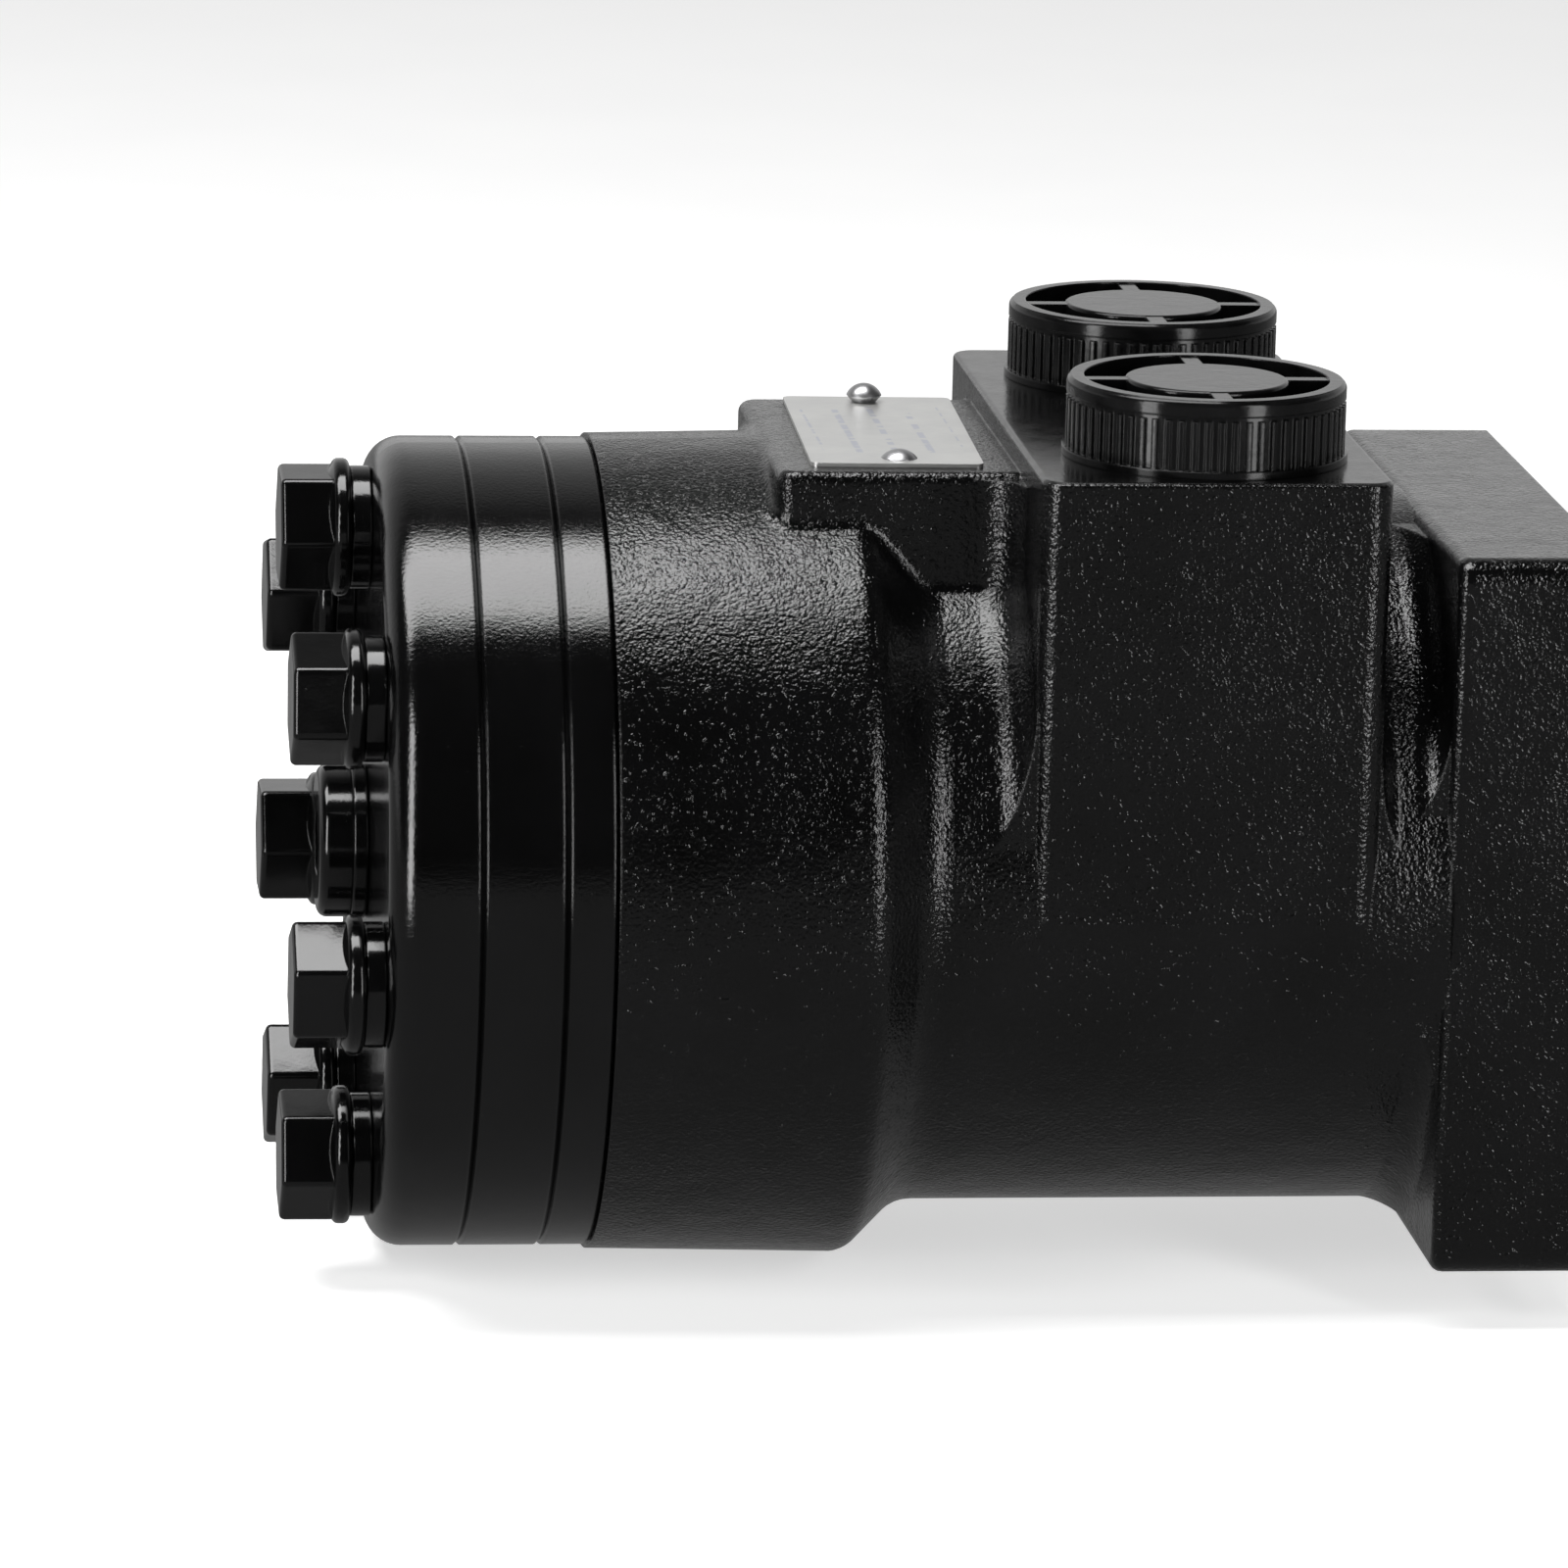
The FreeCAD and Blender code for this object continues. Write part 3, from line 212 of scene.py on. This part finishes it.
def cast_paint():
    """Gloss black over an as-cast skin: grained all over, calmer on the flange and the sides of the
    port block, and almost flat on the machined port face."""
    s = Shader("cast_enamel")
    grain = s.noise(1.9, 2.5, 0.55, 0.2)
    pebbles = s.cells(2.0, 0.5)
    fine = s.noise(4.2, 2.0, 0.5)
    swell = s.noise(0.12, 2.0, 0.5)
    port_face = HOUSING_HIGH.z * MILLIMETRES
    top = s.span(s.axis("Z"), port_face - PORT_FACE_FADE[0], port_face - PORT_FACE_FADE[1])
    patchy = s.span(s.noise(0.045, 2.0, 0.5), 0.35, 0.65, 0.85, 1.15)
    past_rear = s.span(s.axis("X"), *BLOCK_REAR_FADE)
    before_front = s.span(s.axis("X"), *BLOCK_FRONT_FADE, 1.0, 0.0)
    calm_block = s.math("MULTIPLY", past_rear, before_front)
    on_side = s.span(s.math("ABSOLUTE", s.axis("Y")), *BLOCK_SIDE_FADE)
    calm_block = s.math("MULTIPLY", calm_block, on_side)
    skin = s.math("MULTIPLY", patchy, s.span(top, 0.0, 1.0, 1.0, PORT_FACE_SKIN))
    skin = s.math("MULTIPLY", skin, s.span(calm_block, 0.0, 1.0, 1.0, BLOCK_SIDE_SKIN))
    skin = s.math("MULTIPLY", skin, s.span(s.axis("X"), *FLANGE_FADE, 1.0, FLANGE_SKIN))
    beads = s.span(s.noise(1.3, 1.0, 0.5), 0.62, 0.74, 0.0, 0.34, True)
    height = s.math("ADD", s.math("MULTIPLY", grain, 0.60), s.math("MULTIPLY", pebbles, -0.30))
    height = s.math("ADD", height, s.math("MULTIPLY", fine, 0.10))
    height = s.math("ADD", height, beads)
    normal = s.soft_edges(0.5)
    normal = s.bump(s.math("MULTIPLY", height, skin), GRAIN_DEPTH, normal)
    normal = s.bump(s.math("MULTIPLY", swell, skin), SWELL_DEPTH, normal)
    rough = s.span(s.noise(0.35, 3.0, 0.6), 0.3, 0.7, 0.08, 0.15)
    rough = s.math("ADD", rough, s.math("MULTIPLY", top, 0.07))
    return s.finish(paint_colour(s, 0.0010, 0.0022), rough, normal, Specular_IOR_Level=0.42)


def smooth_paint(name, edge, peel, rough_low, rough_high):
    """Gloss black on ground steel: a faint orange peel and a few soft runs."""
    s = Shader(name)
    peeled = s.noise(2.2, 3.0, 0.55)
    runs = s.noise(0.13, 2.0, 0.5)
    normal = s.soft_edges(edge)
    normal = s.bump(peeled, peel, normal)
    normal = s.bump(runs, 0.05, normal)
    rough = s.span(s.noise(0.3, 3.0, 0.6), 0.3, 0.7, rough_low, rough_high)
    return s.finish(paint_colour(s, 0.0008, 0.0018), rough, normal, Specular_IOR_Level=0.45)


def moulded_plastic():
    """Black polyethylene plug: semi-gloss, with a fine mould texture and rubbed high spots."""
    s = Shader("moulded_plug")
    flow = s.noise(0.25, 2.0, 0.5, 0.6)
    fine = s.noise(1.6, 3.0, 0.6)
    normal = s.soft_edges(0.3)
    normal = s.bump(flow, 0.035, normal)
    normal = s.bump(fine, 0.006, normal)
    shade = s.blend(s.span(flow, 0.3, 0.7), grey(0.0022), grey(0.0045, 1.04))
    rough = s.span(fine, 0.3, 0.7, 0.11, 0.18)
    return s.finish(shade, rough, normal, Specular_IOR_Level=0.22)


def plate_metal():
    """The blank data plate: satin anodised aluminium with faint blue-grey ruled fields and no lettering."""
    s = Shader("satin_plate")
    low = PLATE_LOW * MILLIMETRES
    high = PLATE_HIGH * MILLIMETRES
    across = s.span(s.axis("X"), low.x, high.x)
    along = s.span(s.axis("Y"), low.y, high.y)
    inside = s.math("MULTIPLY", s.span(along, *FIELD_ENDS[0]), s.span(along, *FIELD_ENDS[1], 1.0, 0.0))
    inside = s.math("MULTIPLY", inside, s.span(across, *FIELD_SIDES[0]))
    inside = s.math("MULTIPLY", inside, s.span(across, *FIELD_SIDES[1], 1.0, 0.0))
    rows = s.math("FRACT", s.math("MULTIPLY", across, FIELD_ROWS))
    bar = s.math("MULTIPLY", s.span(rows, 0.40, 0.44), s.span(rows, 0.58, 0.62, 1.0, 0.0))
    gaps = s.span(s.noise(0.55, 0.0, 0.5, 0.0, (0.35, 1.0, 1.0)), 0.44, 0.50)
    print_mask = s.math("MULTIPLY", s.math("MULTIPLY", inside, bar), gaps)
    brushed = s.noise(6.0, 3.0, 0.6, 0.0, (0.12, 1.0, 1.0))
    wear = s.noise(0.18, 3.0, 0.55)
    shade = s.blend(s.span(wear, 0.3, 0.7), grey(0.60, 0.985), grey(0.66, 0.975))
    shade = s.blend(s.math("MULTIPLY", print_mask, 0.45), shade, FIELD_INK)
    rough = s.span(brushed, 0.25, 0.75, 0.30, 0.46)
    normal = s.bump(brushed, 0.006, s.soft_edges(0.04))
    return s.finish(shade, rough, normal, Metallic=0.9)


def steel(name, shade, rough_low, rough_high, grooves=None):
    """Bare steel. grooves stretches the noise so that it reads as turning or grinding marks."""
    s = Shader(name)
    marks = s.noise(5.0, 3.0, 0.6, 0.0, grooves) if grooves else s.noise(1.2, 3.0, 0.55)
    stain = s.noise(0.16, 3.0, 0.6)
    colour = s.blend(s.span(stain, 0.3, 0.72), grey(shade * 0.82, 1.02), grey(shade, 1.02))
    worn = s.span(marks, 0.3, 0.7, rough_low, rough_high)
    rough = s.math("ADD", worn, s.span(stain, 0.5, 0.8, 0.0, 0.08))
    normal = s.bump(marks, 0.010, s.soft_edges(0.15))
    normal = s.bump(s.noise(0.5, 2.0, 0.5), 0.02, normal)
    return s.finish(colour, rough, normal, Metallic=1.0)


def rubber():
    """Black nitrile: matt, with a pale bloom in patches."""
    s = Shader("nitrile_seal")
    fine = s.noise(1.8, 3.0, 0.6)
    bloom = s.noise(0.2, 3.0, 0.6)
    colour = s.blend(s.span(bloom, 0.4, 0.75), grey(0.010), grey(0.030))
    rough = s.span(fine, 0.3, 0.7, 0.42, 0.62)
    return s.finish(colour, rough, s.bump(fine, 0.03, s.soft_edges(0.2)), Specular_IOR_Level=0.5)


def dress(material, *names):
    """Puts a material in every slot of these CAD nodes."""
    for name in names:
        mesh = NODES[name].data
        for index in range(len(mesh.materials)):
            mesh.materials[index] = material


def paint_everything():
    dress(cast_paint(), "housing")
    dress(smooth_paint("stack_enamel", 0.45, 0.032, 0.09, 0.14), "spacer_plate", "gerotor_ring", "end_cap")
    fasteners = smooth_paint("fastener_enamel", 0.25, 0.008, 0.09, 0.14)
    dress(fasteners, "cap_bolts", "bolt_washers", "drain_plug", "drain_washer")
    dress(moulded_plastic(), "port_plug_near", "port_plug_far")
    dress(plate_metal(), "nameplate")
    dress(steel("rivet_steel", 0.42, 0.30, 0.40), "rivets")
    turned = steel("turned_shaft", 0.52, 0.16, 0.30, (1.0, 0.06, 0.06))
    dress(turned, "output_shaft", "thrust_race_rear")
    dress(steel("ground_key", 0.42, 0.22, 0.36, (0.08, 1.0, 1.0)), "shaft_key")
    hardened = steel("hard_steel", 0.44, 0.14, 0.26, (0.1, 1.0, 1.0))
    dress(hardened, "gerotor_star", "drive_link", "drive_spacer")
    rollers = ["roller_%d" % number for number in range(1, 8)]
    bearing = steel("bearing_steel", 0.62, 0.06, 0.14)
    dress(bearing, "thrust_race_front", "thrust_cage", "thrust_needles", *rollers)
    dress(rubber(), "body_seals", "shaft_seal", "seal_backup_ring", "dust_seal")


# ---------------------------------------------------------------- studio
def area_light(name, centre, aim, size, radiance):
    """A white rectangular lamp that the camera doesn't see."""
    width, height = size
    data = bpy.data.lights.new(name, "AREA")
    data.shape = "RECTANGLE"
    data.size = width
    data.size_y = height
    data.energy = radiance * math.pi * width * height
    lamp = bpy.data.objects.new(name, data)
    bpy.context.scene.collection.objects.link(lamp)
    centre = Vector(centre)
    back = (centre - Vector(aim)).normalized()
    side = Vector((0.0, 0.0, 1.0)).cross(back)
    side = Vector((1.0, 0.0, 0.0)) if side.length < 0.01 else side.normalized()
    rows = Matrix((side, back.cross(side), back)).transposed()
    lamp.matrix_world = Matrix.Translation(centre) @ rows.to_4x4()
    lamp.visible_camera = False


def make_lights():
    """A long overhead box along the motor, and a tall strip at each side of the camera."""
    under = (OVERHEAD_CENTRE[0], OVERHEAD_CENTRE[1], 0.0)
    area_light("overhead_box", OVERHEAD_CENTRE, under, OVERHEAD_SIZE, OVERHEAD_RADIANCE)
    aim = Vector((STRIP_AIM[0], STRIP_AIM[1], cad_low.z + STRIP_LIFT))
    for name, turn, radiance in STRIPS:
        angle = math.radians(turn)
        middle = aim - Vector((math.sin(angle), math.cos(angle), 0.0)) * STRIP_REACH
        area_light(name, middle, aim, STRIP_SIZE, radiance)


def make_world():
    """A white sweep behind the motor that darkens overhead and in front. The camera sees plain white."""
    world = bpy.data.worlds.new("studio_world")
    world.use_nodes = True
    tree = world.node_tree
    tree.nodes.clear()

    def new(kind, **settings):
        made = tree.nodes.new(kind)
        for key, value in settings.items():
            setattr(made, key, value)
        return made

    split = new("ShaderNodeSeparateXYZ")
    tree.links.new(new("ShaderNodeTexCoord").outputs["Generated"], split.inputs[0])
    angle = new("ShaderNodeMath", operation="ARCTAN2")
    tree.links.new(split.outputs["Z"], angle.inputs[0])
    tree.links.new(split.outputs["Y"], angle.inputs[1])
    half_turn = new("ShaderNodeMath", operation="DIVIDE", use_clamp=True)
    tree.links.new(angle.outputs[0], half_turn.inputs[0])
    half_turn.inputs[1].default_value = math.pi
    ramp = new("ShaderNodeValToRGB")
    tree.links.new(half_turn.outputs[0], ramp.inputs[0])
    points = ramp.color_ramp.elements
    while len(points) < len(BACKDROP):
        points.new(0.5)
    for point, (degrees, level) in zip(points, BACKDROP):
        point.position = degrees / 180.0
        point.color = grey(level)
    studio = new("ShaderNodeBackground")
    tree.links.new(ramp.outputs["Color"], studio.inputs["Color"])
    seen = new("ShaderNodeBackground")
    seen.inputs["Color"].default_value = (1.0, 1.0, 1.0, 1.0)
    choose = new("ShaderNodeMixShader")
    tree.links.new(new("ShaderNodeLightPath").outputs["Is Camera Ray"], choose.inputs[0])
    tree.links.new(studio.outputs[0], choose.inputs[1])
    tree.links.new(seen.outputs[0], choose.inputs[2])
    tree.links.new(choose.outputs[0], new("ShaderNodeOutputWorld").inputs["Surface"])
    bpy.context.scene.world = world


def make_floor():
    """A pale, matt, very large table top just under the motor, dimmed in reflections."""
    mesh = bpy.data.meshes.new("floor")
    build = bmesh.new()
    bmesh.ops.create_grid(build, x_segments=8, y_segments=8, size=FLOOR_HALF)
    build.to_mesh(mesh)
    build.free()
    floor = bpy.data.objects.new("floor", mesh)
    floor.location.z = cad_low.z - FLOOR_GAP
    bpy.context.scene.collection.objects.link(floor)
    s = Shader("pale_floor")
    tint = s.blend(s.span(s.noise(0.02, 3.0, 0.5), 0.3, 0.7), grey(0.80), grey(0.83, 0.995))
    table_top = s.finish(tint, 0.85, Specular_IOR_Level=0.1)
    glow = s.node("ShaderNodeEmission")
    glow.inputs["Strength"].default_value = FLOOR_GLOW
    lit = s.node("ShaderNodeAddShader")
    s.join(s.body.outputs[0], lit.inputs[0])
    s.join(glow.outputs[0], lit.inputs[1])
    dim = s.node("ShaderNodeEmission")
    dim.inputs["Strength"].default_value = FLOOR_IN_REFLECTIONS
    choose = s.node("ShaderNodeMixShader")
    s.join(s.node("ShaderNodeLightPath").outputs["Is Glossy Ray"], choose.inputs[0])
    s.join(lit.outputs[0], choose.inputs[1])
    s.join(dim.outputs[0], choose.inputs[2])
    s.join(choose.outputs[0], s.output.inputs["Surface"])
    mesh.materials.append(table_top)


def make_camera():
    """The viewpoint of the reference view."""
    data = bpy.data.cameras.new("photo_camera")
    data.lens = CAMERA_LENS
    data.sensor_width = SENSOR_WIDTH
    camera = bpy.data.objects.new("photo_camera", data)
    bpy.context.scene.collection.objects.link(camera)
    right = CAMERA_RIGHT.normalized()
    up = (CAMERA_UP - right * CAMERA_UP.dot(right)).normalized()
    back = right.cross(up)
    rows = Matrix((right, up, back)).transposed()
    camera.matrix_world = Matrix.Translation(CAMERA_PLACE) @ rows.to_4x4()
    bpy.context.scene.camera = camera


paint_everything()
make_world()
make_lights()
make_floor()
make_camera()
bpy.context.scene.view_settings.view_transform = "Standard"
